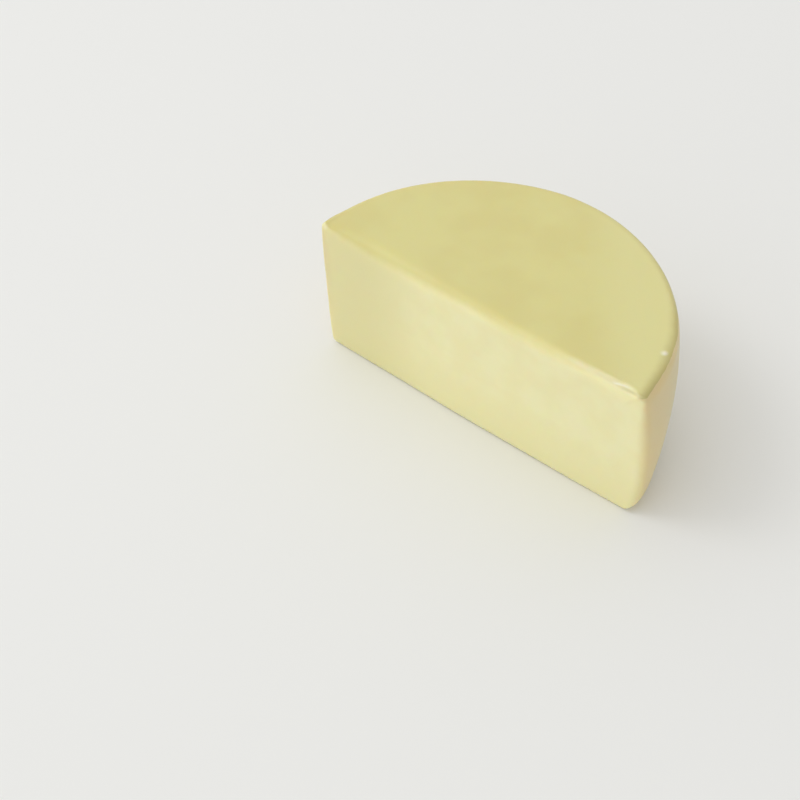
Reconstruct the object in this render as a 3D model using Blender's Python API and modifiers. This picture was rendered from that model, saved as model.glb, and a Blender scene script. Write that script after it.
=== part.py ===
"""Half of a round minas padrao cheese, as cut: one solid, resting on its flat base.

The wheel was shaped in a round mould, so it is a low drum with a slightly bulging wall and soft
rims, a little out of round. One straight cut past its axis leaves the half. At the cut's +X end
the wall has settled: it leans, and its roundings are wider. The cut faces -Y, its long edge runs
along X, and the origin is on the base, at the middle of the half's own box. Lengths are in
metres, with +Z up.
"""

import math

import bmesh
import bpy
from mathutils import Vector

# The whole wheel
WHEEL_RADIUS = 0.070        # mean radius at the rims
HEIGHT = 0.059
BELLY = 0.0018              # how far the wall bulges past the rims
BELLY_UNEVEN = 0.55         # the bulge is fuller by this share at +X, and flatter at -X
BELLY_HEIGHT = 0.53         # where the bulge is fullest, as a share of the height
MOULD_TAPER = 0.0015        # the wall leans out: this much wider at the top, narrower at the base
# Broad lobes that make the wheel a little out of round: how many: (along +X, along +Y)
LOBES = {2: (0.0002, -0.00045), 3: (-0.0002, -0.00015), 4: (0.0002, -0.0001), 5: (0.0, 0.00015)}

# The cut
CUT_PAST_AXIS = 0.0012      # the knife passes the axis by this much, so a little less than half stays

# The cut's settled end, at +X
END_REACH = math.radians(28)  # how far round the wall it goes
END_LEAN = 0.068            # the wall leans in by this much for each unit of height
LEAN_PIVOT = 0.038          # height that the lean leaves where it was

# Roundings of the edges
TOP_RIM_ROUNDING = 0.0020
BASE_RIM_ROUNDING = 0.0040
CUT_TOP_ROUNDING = 0.0026
CUT_BASE_ROUNDING = 0.0014
CORNER_ROUNDING = 0.0030    # the two upright edges between the cut and the wall
END_EXTRA = {"top": 0.0020, "base": 0.0038}  # added to the rims' roundings at the settled end

# Fineness of the faceted surface
TURN_STEPS = 72             # around the whole wheel
WALL_STEPS = 7              # up the wall
ROUNDING_STEPS = 5          # across each rounded edge

# Finish of the cheese
PASTE_COLOUR = (0.78, 0.73, 0.42, 1.0)
PASTE_ROUGHNESS = 0.42

OBJECT_NAME = "minas_padrao_cheese"
NODE_NAME = "half_cheese"
MERGE_DISTANCE = 0.00001
TOUCH = 0.00001             # two heights or depths closer than this count as the same
SHARP_ANGLE = math.radians(50)


def clear_scene():
    for old in list(bpy.data.objects):
        bpy.data.objects.remove(old, do_unlink=True)


def new_collection(name):
    collection = bpy.data.collections.new(name)
    bpy.context.scene.collection.children.link(collection)
    return collection


def belly_share(height):
    """How full the wall's bulge is at a height, from 0 at the rims to 1."""
    share = height / HEIGHT
    reach = BELLY_HEIGHT if share < BELLY_HEIGHT else 1 - BELLY_HEIGHT
    return 1 - ((share - BELLY_HEIGHT) / reach) ** 2


def wall_radius(height):
    """Radius of the wall at a height: the rim's radius, the mould's taper and the belly."""
    taper = MOULD_TAPER * (2 * height / HEIGHT - 1)
    return WHEEL_RADIUS + taper + BELLY * belly_share(height)


def unevenness(angle, height):
    """How far the wall stands out at a place: a few broad lobes and the uneven belly."""
    lobes = sum(across * math.cos(count * angle) + along * math.sin(count * angle)
                for count, (across, along) in LOBES.items())
    return lobes + BELLY * BELLY_UNEVEN * math.cos(angle) * belly_share(height)


def end_share(point):
    """How much of the settled end a point has, from 1 beside the cut's +X end to 0."""
    away = min(abs(math.atan2(point.y, point.x)) / END_REACH, 1)
    return 1 - away * away * (3 - 2 * away)


def evaluated_mesh(source):
    """The object's mesh with its modifiers in it, as a mesh of its own."""
    depsgraph = bpy.context.evaluated_depsgraph_get()
    return bpy.data.meshes.new_from_object(source.evaluated_get(depsgraph), depsgraph=depsgraph)


def turned_wall(collection):
    """The open wall, turned from a profile that runs down its outer side."""
    heights = [HEIGHT * (WALL_STEPS - step) / WALL_STEPS for step in range(WALL_STEPS + 1)]
    profile = bpy.data.meshes.new("wall_profile")
    profile.from_pydata([(wall_radius(height), 0, height) for height in heights],
                        [(step, step + 1) for step in range(WALL_STEPS)], [])
    wall = bpy.data.objects.new("wall", profile)
    collection.objects.link(wall)
    turn = wall.modifiers.new("turn", "SCREW")
    turn.axis = "Z"
    turn.angle = 2 * math.pi
    turn.steps = TURN_STEPS
    turn.render_steps = TURN_STEPS
    turn.use_merge_vertices = True
    turn.merge_threshold = MERGE_DISTANCE
    return wall


def wheel_mesh(collection):
    """The whole wheel: the turned wall, made uneven and closed by a flat top and a flat base."""
    wall = turned_wall(collection)
    mesh = evaluated_mesh(wall)
    bpy.data.objects.remove(wall, do_unlink=True)
    shape = bmesh.new()
    shape.from_mesh(mesh)
    for vert in shape.verts:
        angle = math.atan2(vert.co.y, vert.co.x)
        vert.co.xy *= 1 + unevenness(angle, vert.co.z) / vert.co.xy.length
        vert.co.x += END_LEAN * (LEAN_PIVOT - vert.co.z) * end_share(vert.co)
    rims = [edge for edge in shape.edges if edge.is_boundary]
    bmesh.ops.holes_fill(shape, edges=rims, sides=0)
    bmesh.ops.recalc_face_normals(shape, faces=shape.faces)
    shape.to_mesh(mesh)
    shape.free()
    return mesh


def knife_block(collection):
    """The block that takes away the other half of the wheel."""
    width = 4 * WHEEL_RADIUS
    depth = 2 * WHEEL_RADIUS
    bpy.ops.mesh.primitive_cube_add(size=1, location=(0, CUT_PAST_AXIS - depth / 2, HEIGHT / 2))
    block = bpy.context.active_object
    block.name = "knife_block"
    block.scale = (width, depth, 2 * HEIGHT)
    bpy.ops.object.transform_apply(location=False, rotation=False, scale=True)
    for owner in list(block.users_collection):
        owner.objects.unlink(block)
    collection.objects.link(block)
    block.hide_render = True
    block.display_type = "WIRE"
    return block


def rounding_of(edge):
    """The rounding of one edge of the cut wheel, from where the edge lies."""
    if len(edge.link_faces) != 2 or edge.calc_face_angle() < SHARP_ANGLE:
        return 0.0
    settled = end_share((edge.verts[0].co + edge.verts[1].co) / 2)
    on_cut = all(abs(vert.co.y - CUT_PAST_AXIS) < TOUCH for vert in edge.verts)
    if all(abs(vert.co.z - HEIGHT) < TOUCH for vert in edge.verts):
        return CUT_TOP_ROUNDING if on_cut else TOP_RIM_ROUNDING + END_EXTRA["top"] * settled
    if all(abs(vert.co.z) < TOUCH for vert in edge.verts):
        return CUT_BASE_ROUNDING if on_cut else BASE_RIM_ROUNDING + END_EXTRA["base"] * settled
    return CORNER_ROUNDING


def weigh_edges(mesh):
    """Store each sharp edge's rounding as its bevel weight, and return the widest rounding."""
    shape = bmesh.new()
    shape.from_mesh(mesh)
    roundings = [rounding_of(edge) for edge in shape.edges]
    widest = max(roundings)
    weight = shape.edges.layers.float.new("bevel_weight_edge")
    for edge, rounding in zip(shape.edges, roundings):
        edge[weight] = rounding / widest
    shape.to_mesh(mesh)
    shape.free()
    return widest


def base_centre(part):
    """The middle of the lowest face of the part's box."""
    corners = [vert.co for vert in evaluated_mesh(part).vertices]
    lowest = Vector(min(corner[axis] for corner in corners) for axis in range(3))
    highest = Vector(max(corner[axis] for corner in corners) for axis in range(3))
    return Vector(((lowest.x + highest.x) / 2, (lowest.y + highest.y) / 2, lowest.z))


def paste_material():
    material = bpy.data.materials.new("cheese_paste")
    material.use_nodes = True
    surface = material.node_tree.nodes["Principled BSDF"]
    surface.inputs["Base Color"].default_value = PASTE_COLOUR
    surface.inputs["Roughness"].default_value = PASTE_ROUGHNESS
    surface.inputs["Metallic"].default_value = 0.0
    return material


def half_cheese(parts, cutters):
    """The wheel, cut by the knife block, with its edges rounded."""
    wheel = bpy.data.objects.new("wheel", wheel_mesh(parts))
    parts.objects.link(wheel)
    cut = wheel.modifiers.new("cut", "BOOLEAN")
    cut.operation = "DIFFERENCE"
    cut.solver = "EXACT"
    cut.object = knife_block(cutters)
    mesh = evaluated_mesh(wheel)
    bpy.data.objects.remove(wheel, do_unlink=True)
    mesh.name = NODE_NAME
    widest = weigh_edges(mesh)
    half = bpy.data.objects.new(NODE_NAME, mesh)
    parts.objects.link(half)
    rounding = half.modifiers.new("rounding", "BEVEL")
    rounding.limit_method = "WEIGHT"
    rounding.width = widest
    rounding.segments = ROUNDING_STEPS
    rounding.use_clamp_overlap = False
    half.location = -base_centre(half)
    mesh.shade_smooth()
    mesh.materials.append(paste_material())
    return half


clear_scene()
half_cheese(new_collection(OBJECT_NAME), new_collection("cutters"))
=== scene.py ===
# Half of a round minas padrao cheese: its fine surface and finish, on a pale floor in soft light.
import math

import bmesh
import bpy
from mathutils import Matrix, Vector, noise


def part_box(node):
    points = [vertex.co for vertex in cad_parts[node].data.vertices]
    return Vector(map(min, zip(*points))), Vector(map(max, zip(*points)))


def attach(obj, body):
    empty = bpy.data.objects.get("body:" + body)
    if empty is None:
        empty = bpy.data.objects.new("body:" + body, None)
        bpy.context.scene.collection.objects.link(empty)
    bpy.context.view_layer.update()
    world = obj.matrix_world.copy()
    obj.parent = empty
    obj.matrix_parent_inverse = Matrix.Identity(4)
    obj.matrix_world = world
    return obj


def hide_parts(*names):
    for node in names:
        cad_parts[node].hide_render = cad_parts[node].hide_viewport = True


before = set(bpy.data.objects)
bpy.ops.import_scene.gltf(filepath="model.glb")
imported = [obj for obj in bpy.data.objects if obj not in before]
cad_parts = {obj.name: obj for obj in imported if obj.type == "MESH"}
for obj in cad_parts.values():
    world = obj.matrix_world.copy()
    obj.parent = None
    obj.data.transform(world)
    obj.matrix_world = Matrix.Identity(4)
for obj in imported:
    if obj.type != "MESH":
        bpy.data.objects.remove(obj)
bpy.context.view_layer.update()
mm = 0.001            # one millimetre in Blender's metres


# Small helpers

smooth = {"interpolation_type": "SMOOTHSTEP"}  # settings of a Map Range node
blend = {"data_type": "RGBA"}                  # of a Mix node: share on 0, colours on 6 and 7, result 2


def smoothStep(low, high, value):
    share = min(max((value - low) / (high - low), 0.0), 1.0)
    return share * share * (3 - 2 * share)


def alongCurve(points, place):
    # Reads a smooth curve through a few (place, value) points.
    if place <= points[0][0]:
        return points[0][1]
    for (p0, v0), (p1, v1) in zip(points, points[1:]):
        if place <= p1:
            return v0 + (v1 - v0) * smoothStep(p0, p1, place)
    return points[-1][1]


def reachShare(reach, place):
    # How much there is of a mark at a place, from 0 to 1: it starts, is full, fades and ends.
    start, full, fade, end = reach
    return smoothStep(start, full, place) * (1 - smoothStep(fade, end, place))


def within(limit, value):
    return min(max(value, -limit), limit)


def hexToLinear(code):
    # Turns an sRGB hex colour to the linear values that the nodes take, by the standard's own curve.
    channels = [int(code[place:place + 2], 16) / 255 for place in (1, 3, 5)]
    return [c / 12.92 if c <= 0.04045 else ((c + 0.055) / 1.055) ** 2.4 for c in channels] + [1.0]


def addNode(tree, kind, settings=None, links=None, out=0):
    # Adds a node with its own settings, and with values or other nodes' outputs on its inputs.
    node = tree.nodes.new("ShaderNode" + kind)
    for name, value in (settings or {}).items():
        setattr(node, name, value)
    for name, value in (links or {}).items():
        if isinstance(value, bpy.types.NodeSocket):
            tree.links.new(value, node.inputs[name])
        else:
            node.inputs[name].default_value = value
    return node.outputs[out] if len(node.outputs) else node


def newMaterial(name):
    material = bpy.data.materials.new(name)
    material.use_nodes = True
    material.node_tree.nodes.clear()
    return material, material.node_tree


def newPiece(name, shape, material):
    # Makes an object of a bmesh: it sits at the origin, and its place is in its mesh.
    mesh = bpy.data.meshes.new(name)
    shape.to_mesh(mesh)
    shape.free()
    mesh.materials.append(material)
    piece = bpy.data.objects.new(name, mesh)
    bpy.context.scene.collection.objects.link(piece)
    return piece


# The camera, from the photograph's perspective

cameraView = {
    "aim": (-28.89, -6.94, 0.0),   # mm from the wheel's axis: the floor's point in the picture's middle
    "azimuth": 38.85,              # degrees, 0 looks along +Y at the cut
    "elevation": 47.1,
    "distance": 770.0,             # mm from the aim
    "lens": 92.1,                  # mm
    "sensor": 36.0,                # mm
    "clipStart": 0.01,             # m
}


def towards(azimuth, elevation):
    # The direction from the cheese to what stands at an azimuth and an elevation.
    a, e = math.radians(azimuth), math.radians(elevation)
    return Vector((math.sin(a) * math.cos(e), -math.cos(a) * math.cos(e), math.sin(e)))


def placeCamera(axisSpot):
    back = towards(cameraView["azimuth"], cameraView["elevation"])
    camera = bpy.data.objects.new("camera", bpy.data.cameras.new("camera"))
    camera.data.sensor_width = cameraView["sensor"]
    camera.data.lens = cameraView["lens"]
    camera.data.clip_start = cameraView["clipStart"]
    camera.location = (axisSpot + Vector(cameraView["aim"]) + back * cameraView["distance"]) * mm
    camera.rotation_euler = back.to_track_quat("Z", "Y").to_euler()
    bpy.context.scene.collection.objects.link(camera)
    bpy.context.scene.camera = camera


# The half wheel, in millimetres, round the whole wheel's own axis

halfWheel = {
    "radius": 70.0,            # of the rims
    "height": 59.0,
    "belly": 1.8,              # how far the wall bulges past the rims
    "bellyUneven": 0.55,       # the bulge is fuller by this share at +X, and flatter at -X
    "bellyHeight": 0.53,       # share of the height
    "taper": 1.5,              # wider at the top by this, narrower at the base
    "lobes": {2: (0.2, -0.45), 3: (-0.2, -0.15), 4: (0.2, -0.1), 5: (0.0, 0.15)},  # a little out of round
    "cutPastAxis": 1.2,
    "turnSteps": 180,
    "wallSteps": 24,
    "mergeWithin": 0.001,      # points closer than this become one
    "sliceWithin": 0.0001,     # points closer than this to the cut count as on it
    "voxel": 0.67,             # spacing of the fine surface
    "evenPasses": 3,           # smoothing of the whole surface
    "evenShare": 0.5,          # how far each pass moves a point
}

# The cut's end at +X has settled: the wall leans in there, and its roundings are wider
settledEnd = {
    "reach": 28.0,             # degrees round the wall
    "lean": 0.068,             # inwards for each unit of height
    "pivot": 38.0,             # height that the lean leaves where it was
    "topExtra": 2.0, "baseExtra": 3.8,
}

roundings = {
    "topRim": 2.0,
    "baseRim": 4.0,
    "cutBase": 1.4,
    "corner": [(-60, 1.2), (60, 3.6)],   # the two upright edges, by the place along the cut
    "cutTop": [(-72, 2.0), (-64, 4.5), (-50, 6.0), (-30, 6.0), (-5, 4.5), (30, 3.5), (48, 2.2),
               (66, 1.4)],
}

# The skin's border: how far it lies back from an edge of the cut, along the edge's two faces, and
# half the width that it takes to fade, by the place along the cut or by the height
skinBorder = {
    "top": [(-72, 1.5), (-70, -0.4), (-62, -1.4), (-49, -2.4), (-36, -1.8), (-22, -1.8), (-9, -1.1),
            (4, -1.4), (18, -1.2), (31, -0.8), (44, -0.3), (50, 1.8), (57, 2.0), (61, 3.0), (63, 2.8),
            (65, 2.2), (67, 0.7), (69, -1.1), (71, -2.0)],
    "topSoftness": [(-70, 0.6), (-62, 2.2), (-49, 2.6), (-36, 3.0), (-22, 3.4), (-9, 2.8), (4, 3.2),
                    (18, 4.4), (31, 4.8), (44, 2.8), (50, 1.9), (56, 1.1), (61, 0.7)],
    "upright": [(0, 1.5), (12, 1.1), (23, -0.2), (38, -1.1), (48, -0.9), (57, 0.1)],
    "uprightSoftness": [(0, 4.8), (40, 4.4), (56, 1.8)],
    "torn": (46, 56, 66, 71),  # where the skin tore back from the cut: it starts, is full, fades, ends
    "overRim": (-0.6, 1.4),    # between these places from the rim line one border passes into the other
    "farthest": 9.0,           # distances past this are stored as this
}

# The rim line, where the top's yellow ends: how far down the wall, or less than 0 on the top, by
# degrees round from the cut's +X end
rimLine = [(0, -2.6), (1.0, -2.4), (2.2, -1.0), (3.3, 0.2), (6, -0.3), (10, -0.7), (22, -0.9),
           (32, 0.2), (45, 1.5)]

# The marks where the skin tore, in mm, in the order that they are painted: how far each lies back
# from the cut along X, where it starts, is full, fades and ends, how far it stands out, and its colour:
# bare curd greyed with painted shade on the ledge, painted shade in the groove, a painted highlight on
# the ridge
tear = {
    "ledge": {"line": [(36, 0.6), (56, 1.0), (62, 0.4)], "reach": (34, 44, 61, 67),
              "halfWidth": 2.6, "rise": 0.0, "colour": "ledge"},
    "groove": {"line": [(60, 0.8), (62, 1.0), (65, 1.2), (68, 0.8)], "reach": (58, 63, 69, 71),
               "halfWidth": 1.25, "rise": -0.03, "colour": "groove"},
    # the ridge's colour is a painted highlight
    "ridge": {"line": [(57, 0.9), (59, 1.6), (61, 2.2), (64, 2.5)], "reach": (55.5, 58.5, 59.5, 65.8),
              "halfWidth": 0.9, "rise": 0.1, "colour": "paintedHighlight"},
}

# Relief, in mm
relief = {
    "facing": (0.55, 0.9),                      # how squarely a face looks out to be on the cut or top
    "broadSize": 46.0, "broadDepth": 0.35,      # slow rise and fall of the moulded skin
    "softSize": 13.0, "softDepth": 0.05,        # faint unevenness over it
    "knifeSize": 5.5, "knifeDepth": 0.03,       # drag marks that run down the cut
    "knifeSqueeze": 0.16,                       # heights count this much, which draws the marks long
    "curdSize": 2.6, "curdDepth": 0.01,         # knit curds that just show
    "cutBulge": 0.9,                            # the cut's foot swells a little
    "bulgeHeight": 40.0, "bulgeReach": 72.0,    # up the cut, and each way along it
    "lumpSize": 4.0, "lumpDepth": 0.3,          # small lumps along the cut's top edge
    "lumpSpread": 3.5,                          # how far to each side of the edge
    "lumpReach": (24, 36, 54, 60),              # along the edge: they start, are full, fade, end
    "ledgeDepth": 0.4,                          # the bare ledge where the skin tore back
    "ledgeEnds": (-0.6, 0.2),                   # it ends between these places from the border
    "lipHeight": 0.15, "lipWidth": 0.7,         # the skin's raised edge beside it
    "lipBehind": 0.5,                           # from the border
    "rimStep": 0.3,                             # the top's skin ends in a small step at the rim line
    "stepWidth": 0.5,                           # to each side of the line
    "stepDepths": (9, 3),                       # it comes in between these depths below the top
    "flare": 0.8,                               # the top rim stands out at the cut's -X end
    "flareHeights": (30, 57),                   # it comes in between these heights
    "flareBehind": (14, 2),                     # and between these places behind the cut
    "flatFoot": 4.0,                            # the base stays flat: below this the relief fades out
}
seedSteps = (17.3, 5.1, 9.7)  # how far apart the noise of one seed lies from the next, along X, Y and Z


def settledShare(co):
    # How much of the settled end a place has: 1 beside the cut's +X end, 0 past its reach.
    angle = abs(math.degrees(math.atan2(co.y, co.x)))
    return 1 - smoothStep(0, settledEnd["reach"], angle)


def wallRadius(angle, height):
    share = min(max(height / halfWheel["height"], 0.0), 1.0)
    peak = halfWheel["bellyHeight"]
    reach = peak if share < peak else 1 - peak
    bulge = halfWheel["belly"] * (1 - ((share - peak) / reach) ** 2)
    bulge *= 1 + halfWheel["bellyUneven"] * math.cos(angle)
    lobes = sum(a * math.cos(count * angle) + b * math.sin(count * angle)
                for count, (a, b) in halfWheel["lobes"].items())
    return halfWheel["radius"] + halfWheel["taper"] * (2 * share - 1) + bulge + lobes


def leanAt(co):
    # How far the settled end carries a place along X.
    return settledEnd["lean"] * (settledEnd["pivot"] - co.z) * settledShare(co)


def wallGap(co):
    # How far a place lies inside the wall.
    flat = Vector((co.x - leanAt(co), co.y))
    return wallRadius(math.atan2(flat.y, flat.x), co.z) - flat.length


def cutGap(co):
    return co.y - halfWheel["cutPastAxis"]


def topGap(co):
    return halfWheel["height"] - co.z


def baseGap(co):
    return co.z


def topSide(co):
    # How far a place lies on the top's side of the rim: less than 0 on the wall and on the base.
    return min(wallGap(co), halfWheel["height"] / 2) - topGap(co)


def rimGap(co):
    # The same, from the rim line.
    return alongCurve(rimLine, math.degrees(math.atan2(co.y, co.x))) + topSide(co)


# The way in from each face
inward = {
    wallGap: lambda co: Vector((-co.x, -co.y, 0)).normalized(),
    cutGap: lambda co: Vector((0, 1, 0)),
    topGap: lambda co: Vector((0, 0, -1)),
    baseGap: lambda co: Vector((0, 0, 1)),
}


def cutWheel():
    # Spins the wall, makes it uneven, closes it with a flat top and base, and slices it.
    shape = bmesh.new()
    steps = halfWheel["wallSteps"]
    heights = [halfWheel["height"] * step / steps for step in range(steps + 1)]
    rail = [shape.verts.new((halfWheel["radius"], 0, h)) for h in heights]
    profile = rail + [shape.edges.new(pair) for pair in zip(rail, rail[1:])]
    bmesh.ops.spin(shape, geom=profile, cent=(0, 0, 0), axis=(0, 0, 1), dvec=(0, 0, 0),
                   angle=math.tau, steps=halfWheel["turnSteps"], use_merge=True)
    bmesh.ops.remove_doubles(shape, verts=shape.verts, dist=halfWheel["mergeWithin"])
    for vert in shape.verts:
        vert.co.xy *= wallRadius(math.atan2(vert.co.y, vert.co.x), vert.co.z) / vert.co.xy.length
        vert.co.x += leanAt(vert.co)
    bmesh.ops.holes_fill(shape, edges=[e for e in shape.edges if e.is_boundary], sides=0)
    bmesh.ops.recalc_face_normals(shape, faces=shape.faces)
    everything = shape.verts[:] + shape.edges[:] + shape.faces[:]
    bmesh.ops.bisect_plane(shape, geom=everything, dist=halfWheel["sliceWithin"],
                           plane_co=(0, halfWheel["cutPastAxis"], 0), plane_no=(0, -1, 0),
                           clear_outer=True)
    bmesh.ops.holes_fill(shape, edges=[e for e in shape.edges if e.is_boundary], sides=0)
    bmesh.ops.recalc_face_normals(shape, faces=shape.faces)
    return shape


def evenSurface(shape):
    # Rebuilds the shape as an even grid of small faces, fine enough to carry the relief.
    mesh = bpy.data.meshes.new("coarse")
    shape.to_mesh(mesh)
    shape.free()
    coarse = bpy.data.objects.new("coarse", mesh)
    bpy.context.scene.collection.objects.link(coarse)
    rebuild = coarse.modifiers.new("rebuild", "REMESH")
    rebuild.mode = "VOXEL"
    rebuild.voxel_size = halfWheel["voxel"]
    depsgraph = bpy.context.evaluated_depsgraph_get()
    fine = bmesh.new()
    fine.from_mesh(coarse.evaluated_get(depsgraph).to_mesh())
    bpy.data.objects.remove(coarse)
    print("wheel cut, and its surface made of", len(fine.faces), "even faces")
    return fine


def roundEdge(shape, gapA, gapB, radiusAt):
    # Draws the places near the edge of two faces in, to a round of the radius that it has there.
    for vert in shape.verts:
        a, b = gapA(vert.co), gapB(vert.co)
        radius = radiusAt(vert.co)
        if a < radius and b < radius:
            reach = math.hypot(radius - a, radius - b)
            if reach > radius:
                outside = inward[gapA](vert.co) * (radius - a) + inward[gapB](vert.co) * (radius - b)
                vert.co += outside * (1 - radius / reach)


def rimRounding(rim, extra):
    # The rounding of a rim, which widens towards the settled end.
    return lambda co: roundings[rim] + settledEnd[extra] * settledShare(co)


def roundEdges(shape):
    roundEdge(shape, wallGap, topGap, rimRounding("topRim", "topExtra"))
    roundEdge(shape, wallGap, baseGap, rimRounding("baseRim", "baseExtra"))
    roundEdge(shape, cutGap, topGap, lambda co: alongCurve(roundings["cutTop"], co.x))
    roundEdge(shape, cutGap, baseGap, lambda co: roundings["cutBase"])
    roundEdge(shape, cutGap, wallGap, lambda co: alongCurve(roundings["corner"], co.x))
    for _ in range(halfWheel["evenPasses"]):
        bmesh.ops.smooth_vert(shape, verts=shape.verts, factor=halfWheel["evenShare"],
                              use_axis_x=True, use_axis_y=True, use_axis_z=True)
    print("edges rounded")


def wave(co, size, seed):
    # Smooth noise from -1 to 1 with features of about that size in mm.
    return noise.noise(Vector(co) / size + Vector([seed * step for step in seedSteps]))


def reliefAt(co, normal):
    # How far the surface stands out along its normal, in mm.
    behind, below = cutGap(co), topGap(co)
    onCut = smoothStep(*relief["facing"], -normal.y)
    onTop = smoothStep(*relief["facing"], normal.z)
    rise = relief["broadDepth"] * wave(co, relief["broadSize"], seed=1)
    rise += relief["softDepth"] * wave(co, relief["softSize"], seed=2)
    rise += relief["curdDepth"] * wave(co, relief["curdSize"], seed=3)
    drag = Vector((co.x, co.y, co.z * relief["knifeSqueeze"]))
    rise += onCut * relief["knifeDepth"] * wave(drag, relief["knifeSize"], seed=4)

    swelling = 1 - smoothStep(0, relief["bulgeHeight"], co.z)
    swelling *= 1 - (co.x / relief["bulgeReach"]) ** 2
    rise += onCut * relief["cutBulge"] * swelling
    pastLine = smoothStep(-relief["stepWidth"], relief["stepWidth"], rimGap(co))
    rise += relief["rimStep"] * settledShare(co) * pastLine * smoothStep(*relief["stepDepths"], below)
    flared = smoothStep(*relief["flareHeights"], co.z) * smoothStep(*relief["flareBehind"], behind)
    rise += relief["flare"] * flared * max(-normal.x, 0)

    atEdge = math.exp(-((behind - below) / relief["lumpSpread"]) ** 2)
    atEdge *= reachShare(relief["lumpReach"], co.x)
    rise += atEdge * relief["lumpDepth"] * wave(co, relief["lumpSize"], seed=5)
    border = alongCurve(skinBorder["top"], co.x)
    torn = onTop * reachShare(skinBorder["torn"], co.x)
    ledgeStart, ledgeEnd = [border + place for place in relief["ledgeEnds"]]
    rise -= torn * relief["ledgeDepth"] * (1 - smoothStep(ledgeStart, ledgeEnd, behind))
    fromLip = behind - border - relief["lipBehind"]
    rise += torn * relief["lipHeight"] * math.exp(-(fromLip / relief["lipWidth"]) ** 2)
    return rise


def addRelief(shape):
    shape.normal_update()
    moves = []
    for vert in shape.verts:
        move = vert.normal * reliefAt(vert.co, vert.normal)
        move.z *= smoothStep(0.0, relief["flatFoot"], vert.co.z)
        moves.append(move)
    for vert, move in zip(shape.verts, moves):
        vert.co += move
        vert.co.z = max(vert.co.z, 0.0)
    print("relief added")


def markSkin(shape):
    # Stores how far each place lies past the skin's border, above the rim line and from each mark.
    names = ["skinEdge", "borderSoftness", "rimEdge"]
    names += [mark + part for mark in tear for part in ("Gap", "Share")]
    layers = {name: shape.verts.layers.float.new(name) for name in names}
    for vert in shape.verts:
        co = vert.co
        inside = max(min(topGap(co), wallGap(co), baseGap(co)), 0.0)
        near = smoothStep(*skinBorder["overRim"], rimGap(co))  # 0 on the wall, 1 on the top
        onTop = [alongCurve(skinBorder[name], co.x) for name in ("top", "topSoftness")]
        below = [alongCurve(skinBorder[name], co.z) for name in ("upright", "uprightSoftness")]
        border, softness = [a * near + b * (1 - near) for a, b in zip(onTop, below)]
        fromCut = cutGap(co) - inside
        vert[layers["skinEdge"]] = within(skinBorder["farthest"], fromCut - border)
        vert[layers["borderSoftness"]] = softness
        vert[layers["rimEdge"]] = within(skinBorder["farthest"], rimGap(co))
        for name, mark in tear.items():
            vert[layers[name + "Gap"]] = fromCut - alongCurve(mark["line"], co.x)
            vert[layers[name + "Share"]] = reachShare(mark["reach"], co.x) * near


def makeHalf():
    shape = evenSurface(cutWheel())
    roundEdges(shape)
    nodeLow, nodeHigh = [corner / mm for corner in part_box("half_cheese")]
    axisSpot = Vector((nodeHigh.x - max(vert.co.x for vert in shape.verts),
                       nodeLow.y - halfWheel["cutPastAxis"], 0.0))
    markSkin(shape)
    addRelief(shape)
    bmesh.ops.recalc_face_normals(shape, faces=shape.faces)
    toFrame = Matrix.Scale(mm, 4) @ Matrix.Translation(axisSpot)
    bmesh.ops.transform(shape, matrix=toFrame, verts=shape.verts)
    piece = newPiece("half_wheel", shape, cheeseMaterial(axisSpot))
    piece.data.shade_smooth()
    print("half wheel made, its axis at", [round(v, 2) for v in axisSpot], "mm")
    return piece, axisSpot


# The cheese itself: pressed curd, smooth and a little waxy. Light goes some way into it, so its
# edges glow and its shadows are soft. The skin that formed against the mould is yellower on top and
# duller on the wall.

cheeseColours = {
    "pasteLight": "#f7f1c0", "pasteDeep": "#f4edb9",
    "pasteEndShade": "#e8e1a9",                           # painted shade: the cut's -X end is a little darker
    "pasteFootWarmBounce": "#f2ebb5",                          # painted warm bounce light: its foot is a little darker and yellower
    "topLight": "#e0d995", "topDeep": "#ddd48f",
    "topPale": "#e2dc9c",                            # the skin on the far right
    "rim": "#c6bb7c",                                # the skin where it turns over the rim: a deeper olive, darkened further as painted shade of the rounding
    "paintedHighlight": "#f6f3dc",                               # painted highlight on the ridge and the spots
    "ledge": "#ebe4b7",                              # the bare curd beside the torn skin, greyed as painted shade
    # the groove's colour is painted shade in the crevice
    "groove": "#dfd9a6",
    "wallFootPaintedLight": "#eeda9e", "wall": "#e4d2a0",        # the wall by the settled corner, its foot lighter as painted light against the shade low on the wall
    "wallShadedAway": "#dbcc9b", "wallShadedCloud": "#dfd0a2",   # the wall well back from there: darker as painted shade where it turns from the light, and clouded
}
tint = {name: hexToLinear(code) for name, code in cheeseColours.items()}

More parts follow.
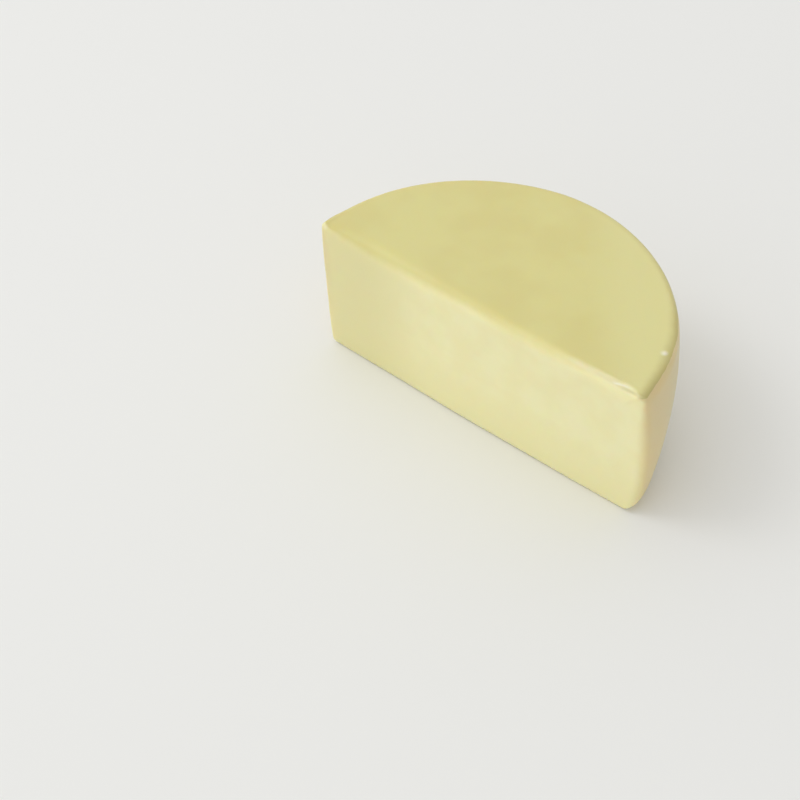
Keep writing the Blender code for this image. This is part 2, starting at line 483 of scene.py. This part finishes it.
cheeseFinish = {
    "mottle": 12.0,                 # mm, cloudiness of the knit curd
    "mottleRange": (0.3, 0.7),      # of the noise, from one colour to the other
    "skinMottle": 24.0,             # mm, broad patches on the skin
    "skinMottleRange": (0.35, 0.65),
    "lineWobble": 3.2,              # mm, size of the unevenness of the skin's borders
    "rimWobble": 0.8,               # mm, how far it moves the rim line
    "borderWobble": 1.2,            # mm, and the border along the cut
    "rimSoftness": 0.15,            # mm to each side of the rim line
    "rimShadeBand": 5.0,                 # mm, how far in from the rim line the skin is deeper, partly as painted shade
    "grain": 0.7,                   # mm, drawn coarser than the real 0.3 mm so that it just shows
    "grainDepth": 0.04,             # mm
    "grainDetail": 3.0, "grainRoughness": 0.6,
    "pits": 1.7,                    # mm between the skin's small pits
    "pitDepth": 0.02,               # mm
    "pitEdge": (0.08, 0.22),        # from a pit's floor to its edge, as shares of that spacing
    "pasteRoughness": 0.42, "skinRoughness": 0.36,
    "ior": 1.45,                    # fat and water
    "scatterShare": 0.7,
    "scatter": 0.004,               # m, how far red light travels inside
    "scatterColours": (1.0, 0.75, 0.4),   # and how far red, green and blue do, as shares of it
}

# Small spots with a painted highlight: place from the wheel's axis, radius and rise in mm, and how strong
# the painted highlight is in the middle
highlightSpots = {
    "blisterGlint": {"place": (62.6, 24.5, 59.0), "radius": 1.85, "rise": 0.22, "share": 0.85},
    # the corner spot has no rise: it is only a painted highlight
    "corner": {"place": (-70.9, 1.4, 57.8), "radius": 1.8, "rise": 0.0, "share": 0.5},
}

# Where one colour passes into another: the way that it goes, and where it starts and ends along
# that way, in mm from the wheel's axis on the floor
colourRamps = {
    # the paste's foot ramp paints warm bounce light, and its -X end ramp paints shade
    "pasteFootWarmBounce": {"way": (0, 0, -1), "start": -28, "end": -5},
    "pasteEndShade": {"way": (-1, 0, 0), "start": 17, "end": 55},
    "topPale": {"way": (0.78, 0.63, 0), "start": 36, "end": 56},
    # the wall's foot ramp paints light low down, and its away ramp paints shade where the wall turns from
    # the light
    "wallFootPaintedLight": {"way": (0, 0, -1), "start": -52, "end": -8},
    "wallShadedAway": {"way": (-0.5, 1, 0), "start": -22, "end": -2},
}


def rampShare(tree, place, axisSpot, name):
    # How far the way of a colour ramp a place has gone, from 0 to 1.
    ramp = colourRamps[name]
    way = Vector(ramp["way"]).normalized()
    start, end = [(axisSpot.dot(way) + ramp[key]) * mm for key in ("start", "end")]
    reached = addNode(tree, "VectorMath", {"operation": "DOT_PRODUCT"}, {0: place, 1: way}, out="Value")
    return addNode(tree, "MapRange", smooth, {"Value": reached, "From Min": start, "From Max": end})


def noiseShare(tree, place, name):
    # Clouds between two colours, from 0 to 1.
    low, high = cheeseFinish[name + "Range"]
    cloud = addNode(tree, "TexNoise", links={"Vector": place, "Scale": 1 / (cheeseFinish[name] * mm)},
                    out="Fac")
    return addNode(tree, "MapRange", smooth, {"Value": cloud, "From Min": low, "From Max": high})


def wobblyEdge(tree, wobble, name, size):
    # The stored distance from a border, which the wobble moves to and fro.
    edge = addNode(tree, "Attribute", {"attribute_name": name}, out="Fac")
    edge = addNode(tree, "Math", {"operation": "MULTIPLY_ADD"}, {0: wobble, 1: size, 2: edge})
    return addNode(tree, "Math", {"operation": "SUBTRACT"}, {0: edge, 1: size / 2})


def pasteColour(tree, place, axisSpot, cloudShare):
    # The paste is faintly clouded, with painted warm bounce light towards its foot and painted shade
    # towards one end.
    paste = addNode(tree, "Mix", blend, {0: cloudShare, 6: tint["pasteDeep"], 7: tint["pasteLight"]},
                    out=2)
    for name in ("pasteFootWarmBounce", "pasteEndShade"):
        share = rampShare(tree, place, axisSpot, name)
        paste = addNode(tree, "Mix", blend, {0: share, 6: paste, 7: tint[name]}, out=2)
    return paste


def topColour(tree, place, axisSpot, rimEdge):
    # The top's skin has broad patches, a paler far right and a deeper band at the rim, partly painted
    # shade where the rim turns from the light.
    share = noiseShare(tree, place, "skinMottle")
    top = addNode(tree, "Mix", blend, {0: share, 6: tint["topDeep"], 7: tint["topLight"]}, out=2)
    share = rampShare(tree, place, axisSpot, "topPale")
    top = addNode(tree, "Mix", blend, {0: share, 6: top, 7: tint["topPale"]}, out=2)
    # the rim band: deeper skin with painted shade, strongest at the rim line
    share = addNode(tree, "MapRange", smooth, {"Value": rimEdge, "From Min": cheeseFinish["rimShadeBand"],
                                               "From Max": 0.0})
    return addNode(tree, "Mix", blend, {0: share, 6: top, 7: tint["rim"]}, out=2)


def wallColour(tree, place, axisSpot, cloudShare):
    # The wall is lighter at its foot by the settled corner, painted light against the shade there, and
    # darker and clouded away from there, painted shade where it turns from the light.
    share = rampShare(tree, place, axisSpot, "wallFootPaintedLight")
    wall = addNode(tree, "Mix", blend, {0: share, 6: tint["wall"], 7: tint["wallFootPaintedLight"]}, out=2)
    away = addNode(tree, "Mix", blend, {0: cloudShare, 6: tint["wallShadedAway"], 7: tint["wallShadedCloud"]}, out=2)
    share = rampShare(tree, place, axisSpot, "wallShadedAway")
    return addNode(tree, "Mix", blend, {0: share, 6: wall, 7: away}, out=2)


def paintMarks(tree, place, axisSpot, colour):
    # Paints the torn edge's marks, with painted shade in the ledge and groove and a painted highlight on
    # the ridge, and the spots' painted highlights, and adds up how far they stand out.
    paintedHighlight, rise = 0.0, 0.0
    # each spot is painted paler towards its middle: a painted highlight
    for spot in highlightSpots.values():
        centre = (axisSpot + Vector(spot["place"])) * mm
        apart = addNode(tree, "VectorMath", {"operation": "DISTANCE"}, {0: place, 1: centre}, out="Value")
        share = addNode(tree, "MapRange", smooth, {"Value": apart, "From Min": spot["radius"] * mm,
                                                   "From Max": 0.0, "To Max": spot["share"]})
        paintedHighlight = addNode(tree, "Math", {"operation": "MAXIMUM"}, {0: share, 1: paintedHighlight})
        rise = addNode(tree, "Math", {"operation": "MULTIPLY_ADD"},
                       {0: share, 1: spot["rise"] * mm, 2: rise})
    # the ledge and groove are painted shade, the ridge a painted highlight
    for name, mark in tear.items():
        gap = addNode(tree, "Attribute", {"attribute_name": name + "Gap"}, out="Fac")
        gap = addNode(tree, "Math", {"operation": "ABSOLUTE"}, {0: gap})
        line = addNode(tree, "MapRange", smooth, {"Value": gap, "From Min": mark["halfWidth"],
                                                  "From Max": 0.0})
        share = addNode(tree, "Attribute", {"attribute_name": name + "Share"}, out="Fac")
        line = addNode(tree, "Math", {"operation": "MULTIPLY"}, {0: line, 1: share})
        colour = addNode(tree, "Mix", blend, {0: line, 6: colour, 7: tint[mark["colour"]]}, out=2)
        rise = addNode(tree, "Math", {"operation": "MULTIPLY_ADD"},
                       {0: line, 1: mark["rise"] * mm, 2: rise})
    return addNode(tree, "Mix", blend, {0: paintedHighlight, 6: colour, 7: tint["paintedHighlight"]}, out=2), rise


def fineHeights(tree, place, skinShare):
    # Curd grain all over, and small pits in the skin, in metres.
    f = cheeseFinish
    grain = addNode(tree, "TexNoise", links={"Vector": place, "Scale": 1 / (f["grain"] * mm),
                                             "Detail": f["grainDetail"],
                                             "Roughness": f["grainRoughness"]}, out="Fac")
    pits = addNode(tree, "TexVoronoi", links={"Vector": place, "Scale": 1 / (f["pits"] * mm)},
                   out="Distance")
    pitFloor, pitRim = f["pitEdge"]
    pits = addNode(tree, "MapRange", smooth, {"Value": pits, "From Min": pitFloor, "From Max": pitRim,
                                              "To Min": -f["pitDepth"] * mm, "To Max": 0.0})
    pits = addNode(tree, "Math", {"operation": "MULTIPLY"}, {0: pits, 1: skinShare})
    return addNode(tree, "Math", {"operation": "MULTIPLY_ADD"},
                   {0: grain, 1: f["grainDepth"] * mm, 2: pits})


def cheeseMaterial(axisSpot):
    material, tree = newMaterial("pressed_curd_cheese")
    f = cheeseFinish
    place = addNode(tree, "TexCoord", out="Object")
    cloudShare = noiseShare(tree, place, "mottle")
    wobble = addNode(tree, "TexNoise", links={"Vector": place, "Scale": 1 / (f["lineWobble"] * mm)},
                     out="Fac")

    # The skin: the wall below the rim line, and the top above it
    rimEdge = wobblyEdge(tree, wobble, "rimEdge", f["rimWobble"])
    aboveLine = addNode(tree, "MapRange", smooth, {"Value": rimEdge, "From Min": -f["rimSoftness"],
                                                   "From Max": f["rimSoftness"]})
    wall = wallColour(tree, place, axisSpot, cloudShare)
    top = topColour(tree, place, axisSpot, rimEdge)
    skin = addNode(tree, "Mix", blend, {0: aboveLine, 6: wall, 7: top}, out=2)

    # Where the skin ends and the paste begins
    skinEdge = wobblyEdge(tree, wobble, "skinEdge", f["borderWobble"])
    softness = addNode(tree, "Attribute", {"attribute_name": "borderSoftness"}, out="Fac")
    share = addNode(tree, "Math", {"operation": "DIVIDE"}, {0: skinEdge, 1: softness})
    skinShare = addNode(tree, "MapRange", smooth, {"Value": share, "From Min": -1.0, "From Max": 1.0})
    paste = pasteColour(tree, place, axisSpot, cloudShare)
    colour = addNode(tree, "Mix", blend, {0: skinShare, 6: paste, 7: skin}, out=2)
    colour, markRise = paintMarks(tree, place, axisSpot, colour)

    heights = fineHeights(tree, place, skinShare)
    heights = addNode(tree, "Math", {"operation": "ADD"}, {0: heights, 1: markRise})
    normal = addNode(tree, "Bump", links={"Strength": 1.0, "Distance": 1.0, "Height": heights},
                     out="Normal")
    roughness = addNode(tree, "MapRange", links={"Value": skinShare, "To Min": f["pasteRoughness"],
                                                 "To Max": f["skinRoughness"]})
    surface = addNode(tree, "BsdfPrincipled", {"subsurface_method": "RANDOM_WALK"},
                      {"Base Color": colour, "Roughness": roughness, "Normal": normal, "IOR": f["ior"],
                       "Subsurface Weight": f["scatterShare"], "Subsurface Scale": f["scatter"],
                       "Subsurface Radius": f["scatterColours"]})
    addNode(tree, "OutputMaterial", links={"Surface": surface})
    return material


half, wheelAxis = makeHalf()
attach(half, "root")
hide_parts("half_cheese")
placeCamera(wheelAxis)
print("camera placed")


# The floor: smooth pale card, matt, so that it takes a soft shadow and mirrors nothing

floorFinish = {"size": 6.0, "segments": 4, "colour": "#f1f1ee", "roughness": 0.8}  # size in m


def makeFloor():
    material, tree = newMaterial("pale_matt_card")
    surface = addNode(tree, "BsdfPrincipled", links={"Base Color": hexToLinear(floorFinish["colour"]),
                                                     "Roughness": floorFinish["roughness"]})
    addNode(tree, "OutputMaterial", links={"Surface": surface})
    shape = bmesh.new()
    bmesh.ops.create_grid(shape, x_segments=floorFinish["segments"], y_segments=floorFinish["segments"],
                          size=floorFinish["size"] / 2)
    return newPiece("floor", shape, material)


makeFloor()


# The light: a room that is brighter on its left, and one weak soft box from there

room = {"azimuth": -80, "elevation": 0, "bright": 1.48, "dim": 0.6}
softBox = {"azimuth": -60, "elevation": 50, "distance": 1.5, "size": 0.6, "power": 2.5}  # in m and W


def placeSoftBox():
    light = bpy.data.lights.new("soft_box", "AREA")
    light.shape = "DISK"
    light.size = softBox["size"]
    light.energy = softBox["power"]
    lamp = bpy.data.objects.new("soft_box", light)
    back = towards(softBox["azimuth"], softBox["elevation"])
    lamp.location = back * softBox["distance"]
    lamp.rotation_euler = back.to_track_quat("Z", "Y").to_euler()
    bpy.context.scene.collection.objects.link(lamp)


def makeRoom():
    world = bpy.data.worlds.new("pale_room")
    world.use_nodes = True
    tree = world.node_tree
    tree.nodes.clear()
    direction = addNode(tree, "TexCoord", out="Generated")
    brightSide = towards(room["azimuth"], room["elevation"])
    share = addNode(tree, "VectorMath", {"operation": "DOT_PRODUCT"}, {0: direction, 1: brightSide},
                    out="Value")
    strength = addNode(tree, "MapRange", links={"Value": share, "From Min": -1.0, "From Max": 1.0,
                                                "To Min": room["dim"], "To Max": room["bright"]})
    light = addNode(tree, "Background", links={"Strength": strength})
    addNode(tree, "OutputWorld", links={"Surface": light})
    bpy.context.scene.world = world
    bpy.context.scene.view_settings.view_transform = "Standard"


placeSoftBox()
makeRoom()
print("floor and lights placed")
